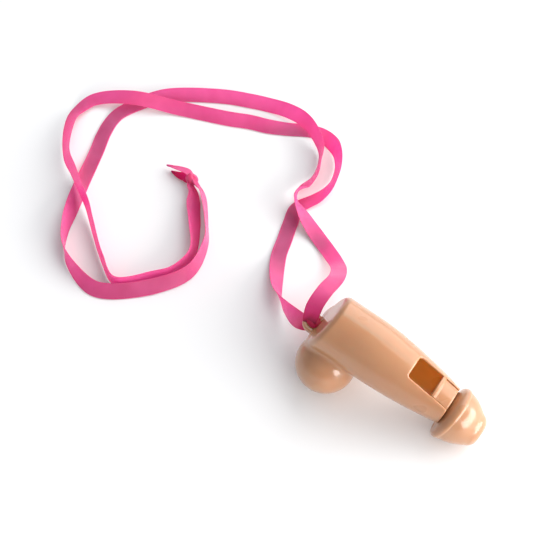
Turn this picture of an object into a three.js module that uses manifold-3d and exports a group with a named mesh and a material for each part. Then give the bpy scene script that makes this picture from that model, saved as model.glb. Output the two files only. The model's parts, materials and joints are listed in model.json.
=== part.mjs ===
// Novelty party whistle on a ribbon lanyard, in millimetres, +Z up.
// The whistle stands on its two round lobes and on the rim of its mouthpiece. Its length runs along X, with the
// mouthpiece at +X. The origin is on the table, below the middle of the whistle's bounding box.
import * as THREE from "three";
import { mergeVertices } from "three/addons/utils/BufferGeometryUtils.js";
import Module from "manifold-3d";

const wasm = await Module();
wasm.setup();

// ---------- Driving dimensions ----------
const WALL = 1.5; // moulded wall of the two body halves
const CLEARANCE = 0.3; // gap between pieces that fit together

// Barrel: the tube that is blown through.
const BARREL_LENGTH = 63;
const BARREL_RADIUS = 13.6; // over the rear half
const MUZZLE_RADIUS = 8.8; // at the front end
const BACK_FILLET = 2.6; // rounded edge round the flat back
const BACK_WALL = 2.0;
const BACK_LEAN = 0.27; // the back's top leans forward by this much of its height
const TAPER_START = 22; // the barrel is cylindrical up to here
const TAPER_POWER = 1.7; // 1 is a straight cone, and more starts the taper gently
const BEND_START = 18; // the barrel's axis is straight up to here, and bends down
const BEND_END = 32; // until here
const BEND_SLOPE = 0.085; // drop of the axis for each millimetre past the bend

// Lobes: two hollow bulbs below the back of the barrel.
const LOBE_LENGTH = 26.8; // along X
const LOBE_WIDTH = 27; // along Y and Z
const LOBE_SPREAD = 18; // between the two centres
const LOBE_X = 9.4;
const LOBE_DROP = 16.7; // below the barrel's axis

// Lug: the flat round tab that holds the ribbon.
const LUG_RADIUS = 4.7;
const LUG_REACH = 9.3; // behind the flat back
const LUG_THICKNESS = 2.4;
const LUG_DROP = 8.6; // its upper face, below the barrel's axis
const LUG_EYE_RADIUS = 2.2;

// Window, and the notch in front of it that the windway insert fills.
const WINDOW_START = 42;
const WINDOW_LENGTH = 12.2;
const WINDOW_WIDTH = 11;
const WINDOW_CORNER = 1.2;

// Windway insert: a plug with a flat, sunk panel on top.
const LIP_LENGTH = 1.8; // raised lip in front of the window
const PANEL_HEIGHT = 6.4; // above the barrel's axis, at the lip
const PANEL_FALL = 0.1; // drop of the panel for each millimetre forward
const RETAINER_X = 58.2; // ring that the body halves clamp
const RETAINER_WIDTH = 1.5;
const RETAINER_HEIGHT = 0.8;
const SPIGOT_RADIUS = 5;
const SPIGOT_DROP = 0.6; // its axis, below the barrel's axis
const SPIGOT_LENGTH = 8;

// Windway: one straight slot from the mouthpiece's tip to the window.
const WINDWAY_WIDTH = 6.6;
const WINDWAY_HEIGHT = 1.7;
const WINDWAY_FLARE = 1.25; // how much larger the slot is in the mouthpiece
const WINDWAY_SLOPE = 0.39;
const WINDWAY_EXIT_HEIGHT = 4.4; // above the barrel's axis at the window, to the slot's middle

// Mouthpiece: the rounded cap that goes between the lips.
const MOUTHPIECE_LENGTH = 17.6;
const MOUTHPIECE_RADIUS = 12.7;
const MOUTHPIECE_TIP_RADIUS = 7.6;
const MOUTHPIECE_DROP = 4; // its axis, below the barrel's axis
const RIM_REACH = 2.4; // from the mouthpiece's back to its widest part
const RIM_ROUND = 1.4; // radius of the rim's edge
const MOUTHPIECE_NOSE = 2.2; // length of the rounded tip
const MOUTHPIECE_BULGE = 0.8; // its side stands this far outside a straight line from the rim to the tip
const RIM_LEAN = 0.2; // the rim's top leans forward by this much of its height

// Locating posts that join the two body halves, each with its pin and socket.
const POST_RADIUS = 2;
const PIN_RADIUS = 1;
const PIN_LENGTH = 2.4;
const POSTS = [
  { x: 8, z: -18 },
  { x: 30, z: -9 },
];

// Ribbon: one satin band through the lug's eye, whose two strands end in one overhand knot.
const RIBBON_WIDTH = 7.5;
const RIBBON_THICKNESS = 0.4;
const TAIL_WIDTH = 4.5;
const KNOT_SIZE = [7.2, 6.4, 6];
const STRAND_STEPS = 38;
const TAIL_STEPS = 2;

// Each strand's route from the lug to the knot: x and y from the point on the table below the lug's eye, how
// far the band's lower edge is lifted off the table, and the angle in degrees by which its left edge is up.
// The lead, at the lug, has its lift from the lug's upper face.
const LEAD_A = [[-2, 1, 2, 0], [-2.5, 5, 5, 0], [-2.5, 13, 6, 0]];
const STRAND_A = [
  [-3, 23, 26, 0], [-8, 35, 15, 0], [-15, 44, 5, 0], [-23, 50, 1, 0], [-31, 54, 1, 0], [-40, 58, 2.5, 20],
  [-48, 63, 3, 65], [-51, 68, 2, 110], [-51, 74, 1.5, 150], [-50, 81, 1, 125], [-52, 89, 0.5, 105],
  [-56, 98, 1, 108], [-63, 104, 2.6, 118], [-73, 109, 3, 132], [-84, 111, 1.8, 145], [-95, 110, 0.2, 145],
  [-105, 107, 0.2, 145], [-118, 102, 0.2, 145], [-139, 90, 0.2, 150], [-147, 83, 0.2, 158],
  [-157, 66, 0.2, 175], [-158, 59, 0.2, 180], [-156, 49, 0.2, 180], [-152, 38, 0.2, 180],
  [-144, 14, 0.3, 168], [-139, 2, 0.2, 140], [-134, -9, 0.2, 110], [-128, -18, 0.2, 95],
  [-120, -24, 0.2, 70], [-103, -29, 0.2, 38], [-94, -26, 0.2, 36], [-78, -12, 0.2, 42], [-69, 3, 0.2, 64],
  [-72, 20, 0.2, 80], [-78, 29, 0.2, 80], [-91, 44, 0.5, 66], [-95, 46, 1, 50],
];
const LEAD_B = [[-1.5, 0, -4, -10], [-4, -0.5, -5.4, -20], [-9, 1.5, -10, -35]];
const STRAND_B = [
  [-17, 6, 7, -70], [-24, 11, 2, -95], [-30, 17, 0.8, -130], [-40, 34, 0.3, -178], [-43, 44, 0.2, -180],
  [-46, 54, 0.2, -180], [-48, 63, 0.2, -182], [-43, 73, 0.2, -196], [-41, 79, 0.2, -215],
  [-41, 86, 0.2, -240], [-44, 95, 0.2, -245], [-49, 102, 0.2, -240], [-56, 107, 0.2, -206],
  [-65, 109, 0.2, -187], [-80, 102, 0.2, -192], [-88, 98, 0.2, -206], [-97, 95, 0.2, -215],
  [-107, 91, 0.2, -215], [-132, 83, 0.5, -210], [-155, 73, 4.5, -205], [-173, 64, 1.5, -188],
  [-176, 56, 0.5, -170], [-175, 47, 0.2, -150], [-162, 27, 0.5, -120], [-151, 19, 2, -112],
  [-141, 12, 3, -108], [-132, 6, 2, -106], [-125, 0, 0.5, -104], [-108, -14, 0.2, -100],
  [-95, -21, 0.2, -94], [-82, -9, 0.2, -92], [-76, -2, 0.2, -94], [-74, 11, 0.2, -105],
  [-83, 26, 0.2, -135], [-90, 35, 0.2, -150], [-95, 42, 0.5, -150], [-98, 44, 1.2, -150],
];
const KNOT = [-100, 48, 3.4];
const TAIL_A = [[-104, 50, 4.4, 20], [-110, 50, 3.6, 25], [-116, 49, 1.4, 30]];
const TAIL_B = [[-104, 47, 1.4, -10], [-108, 46, 0.6, -6], [-113, 46, 0.3, 0]];

const ROUND = 40; // facets round the barrel
const FAR = 80; // a size that reaches past the whole whistle

// ---------- Worked out from the driving dimensions ----------
const LOBE_RADIUS = LOBE_WIDTH / 2;
const MUZZLE = BARREL_LENGTH;
const INSERT_START = WINDOW_START + WINDOW_LENGTH;
const MOUTHPIECE_START = MUZZLE + CLEARANCE;
const MOUTHPIECE_END = MOUTHPIECE_START + MOUTHPIECE_LENGTH;
const RIM_X = MOUTHPIECE_START + RIM_REACH;
const LUG_X = LUG_RADIUS - LUG_REACH;

// Height of the barrel's axis at x: level, then a parabola, then a straight fall.
function axisHeight(x) {
  const bend = BEND_END - BEND_START;
  const into = THREE.MathUtils.clamp(x - BEND_START, 0, bend);
  return -BEND_SLOPE * ((into * into) / (2 * bend) + Math.max(0, x - BEND_END));
}

// Outer radius of the barrel at x: cylindrical, then falling along a curve to the front end.
function barrelRadius(x) {
  const along = THREE.MathUtils.clamp((x - TAPER_START) / (MUZZLE - TAPER_START), 0, 1);
  return BARREL_RADIUS - (BARREL_RADIUS - MUZZLE_RADIUS) * along ** TAPER_POWER;
}

// ---------- From three.js geometry to solids and back ----------
function solid(geometry) {
  const bare = geometry.clone();
  bare.deleteAttribute("normal");
  bare.deleteAttribute("uv");
  const merged = mergeVertices(bare, 1e-4);
  const mesh = new wasm.Mesh({
    numProp: 3,
    vertProperties: merged.attributes.position.array,
    triVerts: new Uint32Array(merged.index.array),
  });
  return new wasm.Manifold(mesh);
}

function geometryOf(made) {
  const mesh = made.getMesh();
  const geometry = new THREE.BufferGeometry();
  geometry.setAttribute("position", new THREE.BufferAttribute(mesh.vertProperties, 3));
  geometry.setIndex(new THREE.BufferAttribute(mesh.triVerts, 1));
  return geometry;
}

const join = (...solids) => solids.reduce((all, one) => all.add(one));

// Moves every point of a geometry by a function of its x, y and z, which gives the new ones.
function moved(geometry, place) {
  const position = geometry.attributes.position;
  for (let i = 0; i < position.count; i++) {
    position.setXYZ(i, ...place(position.getX(i), position.getY(i), position.getZ(i)));
  }
  return geometry;
}

// Follows the barrel's bent axis.
const bent = (geometry) => moved(geometry, (x, y, z) => [x, y, z + axisHeight(x)]);

// A round solid about the X axis. Its profile is a list of [x, radius] that starts and ends on the axis.
function turned(profile, facets = ROUND) {
  const points = profile.map(([x, radius]) => new THREE.Vector2(radius, x));
  return new THREE.LatheGeometry(points, facets).rotateZ(-Math.PI / 2);
}

function block(x0, x1, y0, y1, z0, z1) {
  const box = new THREE.BoxGeometry(x1 - x0, y1 - y0, z1 - z0);
  return box.translate((x0 + x1) / 2, (y0 + y1) / 2, (z0 + z1) / 2);
}

// A solid about the barrel's axis, from x0 to x1.
function tube(x0, x1, radiusAt, count) {
  const side = steps(x0, x1, count).map((x) => [x, radiusAt(x)]);
  return solid(bent(turned([[x0, 0], ...side, [x1, 0]])));
}

// Points at even steps from start to end, both included.
function steps(start, end, count) {
  return Array.from({ length: count + 1 }, (_, i) => start + ((end - start) * i) / count);
}

// ---------- Body halves ----------
function barrel(inset) {
  const back = inset ? BACK_WALL : 0;
  const front = inset ? MUZZLE + 1 : MUZZLE;
  const fillet = BACK_FILLET - inset;
  const edge = steps(0, Math.PI / 2, 4).map((turn) => [
    back + fillet * (1 - Math.sin(turn)),
    BARREL_RADIUS - inset - fillet * (1 - Math.cos(turn)),
  ]);
  const side = steps(TAPER_START, MUZZLE, 12).map((x) => [x, barrelRadius(x) - inset]);
  const end = inset ? [[front, MUZZLE_RADIUS - inset]] : [];
  const profile = [[back, 0], ...edge.reverse(), ...side, ...end, [front, 0]];
  const leaned = moved(turned(profile), (x, y, z) => {
    const share = THREE.MathUtils.clamp(1 - x / BEND_START, 0, 1);
    return [x + BACK_LEAN * z * share, y, z];
  });
  return solid(bent(leaned));
}

function lobe(side, inset) {
  const shape = new THREE.SphereGeometry(1, 28, 18).rotateX(Math.PI / 2);
  const radius = LOBE_RADIUS - inset;
  shape.scale(LOBE_LENGTH / 2 - inset, radius, radius);
  return solid(shape.translate(LOBE_X, (side * LOBE_SPREAD) / 2, -LOBE_DROP));
}

function lug() {
  const outline = new THREE.Shape();
  outline.moveTo(BACK_WALL, -LUG_RADIUS);
  outline.lineTo(BACK_WALL, LUG_RADIUS);
  outline.lineTo(LUG_X, LUG_RADIUS);
  outline.absarc(LUG_X, 0, LUG_RADIUS, Math.PI / 2, (3 * Math.PI) / 2, false);
  const eye = new THREE.Path().absarc(LUG_X, 0, LUG_EYE_RADIUS, 0, 2 * Math.PI, false);
  outline.holes.push(eye);
  const tab = new THREE.ExtrudeGeometry(outline, {
    depth: LUG_THICKNESS,
    bevelEnabled: false,
    curveSegments: 10,
  });
  return solid(tab.translate(0, 0, -LUG_DROP - LUG_THICKNESS));
}

// The window and the notch: open upwards and to the front, with rounded rear corners.
function notch() {
  const half = WINDOW_WIDTH / 2;
  const corner = WINDOW_CORNER;
  const outline = new THREE.Shape();
  outline.moveTo(MUZZLE + 1, -half);
  outline.lineTo(MUZZLE + 1, half);
  outline.lineTo(WINDOW_START + corner, half);
  outline.absarc(WINDOW_START + corner, half - corner, corner, Math.PI / 2, Math.PI, false);
  outline.absarc(WINDOW_START + corner, corner - half, corner, Math.PI, (3 * Math.PI) / 2, false);
  const cut = new THREE.ExtrudeGeometry(outline, { depth: FAR, bevelEnabled: false, curveSegments: 4 });
  return solid(bent(cut));
}

// A ring about the barrel's axis, to the height of the insert's retainer.
function retainer(gap) {
  const x0 = RETAINER_X - gap;
  const x1 = RETAINER_X + RETAINER_WIDTH + gap;
  const radius = barrelRadius(RETAINER_X) - WALL + RETAINER_HEIGHT - CLEARANCE + gap;
  return tube(x0, x1, () => radius, 1);
}

function rod(post, radius, y0, y1) {
  const cylinder = new THREE.CylinderGeometry(radius, radius, y1 - y0, 16);
  return solid(cylinder.translate(post.x, (y0 + y1) / 2, post.z));
}

const outside = join(barrel(0), lobe(-1, 0), lobe(1, 0));
const inside = join(barrel(WALL), lobe(-1, WALL), lobe(1, WALL), retainer(CLEARANCE));
const posts = join(...POSTS.map((post) => rod(post, POST_RADIUS, -FAR, FAR))).intersect(outside);
const shell = join(outside.subtract(inside), posts, lug()).subtract(notch());

// One half keeps its own side of the middle plane. The left half has the pins, and the right one the sockets.
function bodyHalf(side) {
  const [y0, y1] = side > 0 ? [0, FAR] : [-FAR, 0];
  const half = shell.intersect(solid(block(-FAR, 2 * FAR, y0, y1, -FAR, FAR)));
  if (side > 0) {
    const pins = POSTS.map((post) => rod(post, PIN_RADIUS, -PIN_LENGTH, 1));
    return join(half, ...pins);
  }
  const gap = CLEARANCE;
  const sockets = POSTS.map((post) => rod(post, PIN_RADIUS + gap, -PIN_LENGTH - gap, 1));
  return half.subtract(join(...sockets));
}

// ---------- Windway insert and mouthpiece ----------
// The slot runs straight through both pieces, and is a little wider and higher in the mouthpiece.
function windway() {
  const half = [WINDWAY_WIDTH / 2, WINDWAY_HEIGHT / 2];
  const slot = block(INSERT_START - 2, MOUTHPIECE_END + 2, -half[0], half[0], -half[1], half[1]);
  const exit = axisHeight(INSERT_START) + WINDWAY_EXIT_HEIGHT;
  const placed = moved(slot, (x, y, z) => {
    const size = x > MUZZLE ? WINDWAY_FLARE : 1;
    return [x, y * size, exit - (x - INSERT_START) * WINDWAY_SLOPE + z * size];
  });
  return solid(placed);
}

function windwayInsert() {
  const x0 = INSERT_START;
  const x1 = MUZZLE - CLEARANCE;
  const half = WINDOW_WIDTH / 2 - CLEARANCE;
  const plug = tube(x0, x1, (x) => barrelRadius(x) - WALL - CLEARANCE, 5);
  // The key fills the notch: up to the barrel's own surface at the lip, and up to the panel in front of it.
  const keyway = block(x0, x1, -half, half, -MUZZLE_RADIUS / 2, FAR);
  const key = tube(x0, x1, barrelRadius, 5).intersect(solid(keyway));
  const panelStart = x0 + LIP_LENGTH;
  const pocket = moved(block(panelStart, MUZZLE + 1, -FAR, FAR, 0, FAR), (x, y, z) => [
    x,
    y,
    z + axisHeight(panelStart) + PANEL_HEIGHT - (x - panelStart) * PANEL_FALL,
  ]);
  const sunk = join(plug, key, retainer(0)).subtract(solid(pocket));
  return join(sunk, spigot(x1 - 1, SPIGOT_RADIUS, 0)).subtract(windway());
}

// The insert's spigot, or with a gap the mouthpiece's socket for it.
function spigot(start, radius, gap) {
  const end = MUZZLE + SPIGOT_LENGTH + gap;
  const shape = [[start, 0], [start, radius + gap], [end, radius + gap], [end, 0]];
  return solid(bent(turned(shape, 28)).translate(0, 0, -SPIGOT_DROP));
}

function mouthpiece() {
  const x0 = MOUTHPIECE_START;
  const x1 = MOUTHPIECE_END;
  const tipX = x1 - MOUTHPIECE_NOSE;
  const slant = Math.atan2(MOUTHPIECE_RADIUS - MOUTHPIECE_TIP_RADIUS, tipX - RIM_X);
  // The back slants out to the rim, the rim is rounded, and the side runs in a slight curve to the rounded tip.
  const rim = steps(-1.2, Math.PI / 2 - slant - 0.5, 5).map((turn) => [
    RIM_X + RIM_ROUND * Math.sin(turn),
    MOUTHPIECE_RADIUS - RIM_ROUND + RIM_ROUND * Math.cos(turn),
  ]);
  const [rimEndX, rimEndRadius] = rim[rim.length - 1];
  const side = [0.2, 0.4, 0.6, 0.8].map((share) => {
    const straight = THREE.MathUtils.lerp(rimEndRadius, MOUTHPIECE_TIP_RADIUS, share);
    return [
      THREE.MathUtils.lerp(rimEndX, tipX, share),
      straight + MOUTHPIECE_BULGE * Math.sin(Math.PI * share),
    ];
  });
  const nose = steps(0, Math.PI / 2, 6).map((turn) => [
    tipX + MOUTHPIECE_NOSE * Math.sin(turn),
    MOUTHPIECE_TIP_RADIUS * (0.45 + 0.55 * Math.cos(turn)),
  ]);
  const backRadius = MUZZLE_RADIUS - 0.5;
  const profile = [[x0, 0], [x0, backRadius], ...rim, ...side, ...nose, [x1, 0]];
  const leaned = moved(turned(profile, 36), (x, y, z) => {
    const beyond = Math.max(0, Math.hypot(y, z) - backRadius) / (MOUTHPIECE_RADIUS - backRadius);
    return [x + RIM_LEAN * z * beyond, y, z - MOUTHPIECE_DROP];
  });
  return solid(bent(leaned)).subtract(join(spigot(x0 - 2, SPIGOT_RADIUS, CLEARANCE), windway()));
}

// ---------- Ribbon ----------
// A smooth route whose frames keep the band's width level, turned about the route by each point's own angle.
class BandPath extends THREE.CatmullRomCurve3 {
  constructor(route, width) {
    const half = width / 2;
    const points = route.map(([x, y, lift, angle]) => {
      const rise = half * Math.abs(Math.sin(THREE.MathUtils.degToRad(angle)));
      return new THREE.Vector3(x, y, lift + rise + RIBBON_THICKNESS / 2);
    });
    super(points, false, "centripetal");
    this.angles = route.map((point) => THREE.MathUtils.degToRad(point[3]));
    this.arcLengthDivisions = 600;
  }

  angleAt(u) {
    const place = this.getUtoTmapping(u) * (this.angles.length - 1);
    const before = Math.min(Math.floor(place), this.angles.length - 2);
    return THREE.MathUtils.lerp(this.angles[before], this.angles[before + 1], place - before);
  }

  computeFrenetFrames(segments) {
    const tangents = steps(0, 1, segments).map((u) => this.getTangentAt(u));
    const normals = tangents.map((tangent, i) => {
      const level = new THREE.Vector3(-tangent.y, tangent.x, 0).normalize();
      return level.applyAxisAngle(tangent, this.angleAt(i / segments));
    });
    const binormals = tangents.map((tangent, i) => new THREE.Vector3().crossVectors(tangent, normals[i]));
    return { tangents, normals, binormals };
  }
}

// A flat band along a route, as rings of four corners. Its upper and lower faces are split along the same
// diagonal, so that they stay apart where the band is twisted.
function band(route, width, count) {
  const path = new BandPath(route, width);
  const { normals, binormals } = path.computeFrenetFrames(count);
  const corners = [[1, 1], [-1, 1], [-1, -1], [1, -1]];
  const position = normals.flatMap((normal, i) =>
    corners.flatMap(([aside, above]) => {
      const corner = path.getPointAt(i / count);
      corner.addScaledVector(normal, (aside * width) / 2);
      corner.addScaledVector(binormals[i], (above * RIBBON_THICKNESS) / 2);
      return corner.toArray();
    }),
  );
  const index = [2, 1, 0, 3, 2, 0];
  for (let ring = 0; ring < 4 * count; ring += 4) {
    index.push(ring, ring + 1, ring + 5, ring, ring + 5, ring + 4);
    index.push(ring + 3, ring + 6, ring + 2, ring + 3, ring + 7, ring + 6);
    index.push(ring + 1, ring + 2, ring + 6, ring + 1, ring + 6, ring + 5);
    index.push(ring + 3, ring, ring + 4, ring + 3, ring + 4, ring + 7);
  }
  const end = 4 * count;
  index.push(end, end + 1, end + 2, end, end + 2, end + 3);
  const geometry = new THREE.BufferGeometry();
  geometry.setAttribute("position", new THREE.Float32BufferAttribute(position, 3));
  geometry.setIndex(index);
  return geometry;
}

// The short stretch inside the lug's eye, where the band is curled to fit the hole.
function bight() {
  const outer = LUG_EYE_RADIUS - CLEARANCE;
  const inner = outer - RIBBON_THICKNESS;
  const open = Math.PI - RIBBON_WIDTH / (outer + inner);
  const outline = new THREE.Shape();
  outline.absarc(0, 0, outer, open, 2 * Math.PI - open, false);
  outline.absarc(0, 0, inner, 2 * Math.PI - open, open, true);
  const depth = LUG_THICKNESS + 2 * CLEARANCE;
  const curl = new THREE.ExtrudeGeometry(outline, { depth, bevelEnabled: false, curveSegments: 8 });
  return curl.translate(LUG_X, 0, -LUG_DROP - LUG_THICKNESS - CLEARANCE);
}

function knot() {
  const ball = new THREE.SphereGeometry(0.5, 14, 10).rotateX(Math.PI / 2);
  return ball.scale(...KNOT_SIZE).translate(...KNOT);
}

// ---------- Assembly ----------
const SKIN = { color: 0xe9b48f, roughness: 0.32, metalness: 0 };
const SATIN = { color: 0xe8438c, roughness: 0.4, metalness: 0 };

function piece(name, made, look) {
  const geometry = made.isBufferGeometry ? made : geometryOf(made);
  const mesh = new THREE.Mesh(geometry, new THREE.MeshStandardMaterial(look));
  mesh.name = name;
  return mesh;
}

const whistle = new THREE.Group();
whistle.add(
  piece("body_left", bodyHalf(1), SKIN),
  piece("body_right", bodyHalf(-1), SKIN),
  piece("windway_insert", windwayInsert(), SKIN),
  piece("mouthpiece", mouthpiece(), SKIN),
  piece("ribbon_bight", bight(), SATIN),
);

// Tilt that brings the lobes and the mouthpiece down to one plane. Each point of the mouthpiece has a line
// through it that touches the lobes' circle, and the point with the least steep line meets the table.
const front = whistle.getObjectByName("mouthpiece").geometry.attributes.position;
const tilts = steps(0, front.count - 1, front.count - 1).map((i) => {
  const across = front.getX(i) - LOBE_X;
  const up = front.getZ(i) + LOBE_DROP;
  return Math.atan2(up, across) + Math.asin(LOBE_RADIUS / Math.hypot(across, up));
});
whistle.rotation.y = Math.min(...tilts);
const box = new THREE.Box3().setFromObject(whistle, true);
whistle.position.set(-(box.min.x + box.max.x) / 2, 0, -box.min.z);

// The ribbon's routes start from the point on the table below the lug's eye.
whistle.updateMatrixWorld(true);
const eye = new THREE.Vector3(LUG_X, 0, -LUG_DROP).applyMatrix4(whistle.matrixWorld);
const led = (lead, strand) => [...lead.map(([x, y, up, angle]) => [x, y, eye.z + up, angle]), ...strand];
const ribbon = new THREE.Group();
ribbon.add(
  piece("ribbon_strand_a", band(led(LEAD_A, STRAND_A), RIBBON_WIDTH, STRAND_STEPS), SATIN),
  piece("ribbon_strand_b", band(led(LEAD_B, STRAND_B), RIBBON_WIDTH, STRAND_STEPS), SATIN),
  piece("ribbon_knot", knot(), SATIN),
  piece("ribbon_tail_a", band(TAIL_A, TAIL_WIDTH, TAIL_STEPS), SATIN),
  piece("ribbon_tail_b", band(TAIL_B, TAIL_WIDTH, TAIL_STEPS), SATIN),
);
ribbon.position.set(eye.x, eye.y, 0);

const part = new THREE.Group();
part.add(whistle, ribbon);

export default part;
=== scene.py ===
"""Novelty party whistle on a satin ribbon: the visual model, in metres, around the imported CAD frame.

The whistle's pieces are smooth closed surfaces of signed distance functions. They are written in the
whistle's own millimetres, as in the CAD, and then tilted and placed as the CAD places them. The ribbon's
strands repeat the CAD's routes, with their ends run on into the eye and the knot.
"""

import json
import math

import bmesh
import bpy
import numpy as np
from mathutils import Vector
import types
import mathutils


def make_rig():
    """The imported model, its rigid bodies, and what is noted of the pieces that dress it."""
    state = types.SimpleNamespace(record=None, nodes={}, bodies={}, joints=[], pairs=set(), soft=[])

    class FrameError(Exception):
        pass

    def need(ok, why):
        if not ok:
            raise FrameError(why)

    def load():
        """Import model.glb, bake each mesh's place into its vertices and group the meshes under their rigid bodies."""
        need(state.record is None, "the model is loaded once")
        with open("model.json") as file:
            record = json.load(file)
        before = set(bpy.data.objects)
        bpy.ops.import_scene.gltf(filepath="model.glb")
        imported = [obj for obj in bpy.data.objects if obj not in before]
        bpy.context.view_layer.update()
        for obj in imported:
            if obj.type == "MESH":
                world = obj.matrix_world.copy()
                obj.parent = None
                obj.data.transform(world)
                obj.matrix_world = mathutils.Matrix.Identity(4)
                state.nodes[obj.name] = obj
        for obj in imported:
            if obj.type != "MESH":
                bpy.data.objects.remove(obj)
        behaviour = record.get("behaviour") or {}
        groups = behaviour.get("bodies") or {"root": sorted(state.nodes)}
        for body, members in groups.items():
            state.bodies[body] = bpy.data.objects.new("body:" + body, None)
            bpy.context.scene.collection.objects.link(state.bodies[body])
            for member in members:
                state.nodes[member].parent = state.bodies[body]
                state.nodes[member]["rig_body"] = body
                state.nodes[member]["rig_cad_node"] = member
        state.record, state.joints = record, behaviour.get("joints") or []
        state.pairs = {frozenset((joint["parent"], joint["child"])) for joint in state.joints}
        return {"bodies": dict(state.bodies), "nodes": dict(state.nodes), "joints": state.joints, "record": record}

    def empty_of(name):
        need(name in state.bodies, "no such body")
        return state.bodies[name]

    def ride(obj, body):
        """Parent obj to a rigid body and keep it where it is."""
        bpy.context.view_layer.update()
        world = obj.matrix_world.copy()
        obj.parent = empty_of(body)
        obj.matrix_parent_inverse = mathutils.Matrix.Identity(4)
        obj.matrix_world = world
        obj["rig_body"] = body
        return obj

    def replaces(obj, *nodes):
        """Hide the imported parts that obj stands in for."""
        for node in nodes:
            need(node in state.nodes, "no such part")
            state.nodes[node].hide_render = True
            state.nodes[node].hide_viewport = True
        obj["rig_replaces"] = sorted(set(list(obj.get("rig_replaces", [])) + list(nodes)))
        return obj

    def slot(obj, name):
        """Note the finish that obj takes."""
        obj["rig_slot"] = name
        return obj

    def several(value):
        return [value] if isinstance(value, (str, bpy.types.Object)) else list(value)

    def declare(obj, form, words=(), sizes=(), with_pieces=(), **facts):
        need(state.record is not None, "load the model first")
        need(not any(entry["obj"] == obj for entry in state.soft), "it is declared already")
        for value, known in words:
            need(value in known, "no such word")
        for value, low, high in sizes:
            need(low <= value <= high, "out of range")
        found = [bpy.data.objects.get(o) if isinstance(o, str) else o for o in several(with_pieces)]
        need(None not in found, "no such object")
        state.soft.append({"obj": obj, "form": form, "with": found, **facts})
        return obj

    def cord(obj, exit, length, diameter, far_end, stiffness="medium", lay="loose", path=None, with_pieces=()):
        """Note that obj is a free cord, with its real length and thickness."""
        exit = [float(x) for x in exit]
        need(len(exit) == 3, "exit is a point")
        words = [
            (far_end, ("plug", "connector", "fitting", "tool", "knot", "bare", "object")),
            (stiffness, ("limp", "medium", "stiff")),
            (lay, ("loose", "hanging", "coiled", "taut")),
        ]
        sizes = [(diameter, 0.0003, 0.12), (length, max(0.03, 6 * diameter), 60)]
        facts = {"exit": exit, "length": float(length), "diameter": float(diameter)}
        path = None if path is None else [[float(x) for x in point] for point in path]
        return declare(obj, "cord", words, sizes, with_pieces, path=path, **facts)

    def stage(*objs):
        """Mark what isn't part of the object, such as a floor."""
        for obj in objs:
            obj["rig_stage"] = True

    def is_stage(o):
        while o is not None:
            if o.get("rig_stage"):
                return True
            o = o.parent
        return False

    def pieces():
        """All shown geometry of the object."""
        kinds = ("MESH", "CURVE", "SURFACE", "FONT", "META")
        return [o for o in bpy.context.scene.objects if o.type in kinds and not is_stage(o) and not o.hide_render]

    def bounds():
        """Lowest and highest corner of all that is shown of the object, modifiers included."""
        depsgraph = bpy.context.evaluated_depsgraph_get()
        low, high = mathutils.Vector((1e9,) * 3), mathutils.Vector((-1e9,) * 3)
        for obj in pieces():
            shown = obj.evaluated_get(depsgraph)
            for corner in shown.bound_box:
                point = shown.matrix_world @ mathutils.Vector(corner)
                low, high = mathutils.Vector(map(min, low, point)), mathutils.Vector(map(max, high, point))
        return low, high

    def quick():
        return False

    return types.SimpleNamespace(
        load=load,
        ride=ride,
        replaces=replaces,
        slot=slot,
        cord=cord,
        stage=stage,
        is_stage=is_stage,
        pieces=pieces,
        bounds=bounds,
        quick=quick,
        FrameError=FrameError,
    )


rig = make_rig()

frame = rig.load()
cad_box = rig.bounds()

MM = 0.001



def add_object(name, data):
    """A new object in the scene, from a mesh, camera or lamp."""
    made = bpy.data.objects.new(name, data)
    bpy.context.scene.collection.objects.link(made)
    return made


# ---------- Camera ----------
TARGET = Vector((-0.07419, 0.01793, 0.010))
AZIMUTH, ELEVATION = math.radians(33.16), math.radians(56.52)
DISTANCE = 0.540
LENS = 76.84


def make_camera():
    away = Vector(
        (
            math.sin(AZIMUTH) * math.cos(ELEVATION),
            -math.cos(AZIMUTH) * math.cos(ELEVATION),
            math.sin(ELEVATION),
        )
    )
    data = bpy.data.cameras.new("camera")
    data.sensor_width = 36
    data.lens = LENS
    data.clip_start = 0.01
    camera = add_object("camera", data)
    camera.location = TARGET + DISTANCE * away
    camera.rotation_euler = away.to_track_quat("Z", "Y").to_euler()
    bpy.context.scene.camera = camera


make_camera()


# ---------- Node materials ----------
class Nodes:
    """A short way to write a material's nodes."""

    def __init__(self, name):
        self.material = bpy.data.materials.new(name)
        self.material.use_nodes = True
        self.tree = self.material.node_tree
        self.shader = self.tree.nodes["Principled BSDF"]

    def add(self, kind, inputs=None, **settings):
        node = self.tree.nodes.new(kind)
        for key, value in settings.items():
            setattr(node, key, value)
        for key, value in (inputs or {}).items():
            self.put(node, key, value)
        return node

    def put(self, node, key, value):
        if isinstance(value, bpy.types.NodeSocket):
            self.tree.links.new(value, node.inputs[key])
        else:
            node.inputs[key].default_value = value

    def set(self, **values):
        for key, value in values.items():
            self.put(self.shader, key.replace("_", " "), value)

    def math(self, operation, a, b=0.0):
        return self.add("ShaderNodeMath", {0: a, 1: b}, operation=operation).outputs[0]

    def mix(self, share, a, b):
        node = self.add("ShaderNodeMix", data_type="RGBA")
        for index, value in ((0, share), (6, a), (7, b)):
            self.put(node, index, value)
        return node.outputs[2]

    def ramp(self, value, low, high, out_low=0.0, out_high=1.0):
        node = self.add(
            "ShaderNodeMapRange",
            {
                "Value": value,
                "From Min": low,
                "From Max": high,
                "To Min": out_low,
                "To Max": out_high,
            },
        )
        return node.outputs[0]

    def noise(self, vector, scale, detail=3.0):
        node = self.add(
            "ShaderNodeTexNoise", {"Vector": vector, "Scale": scale, "Detail": detail}
        )
        return node.outputs["Fac"]

    def bump(self, height, strength, distance):
        node = self.add(
            "ShaderNodeBump",
            {"Height": height, "Strength": strength, "Distance": distance},
        )
        return node.outputs["Normal"]


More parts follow.
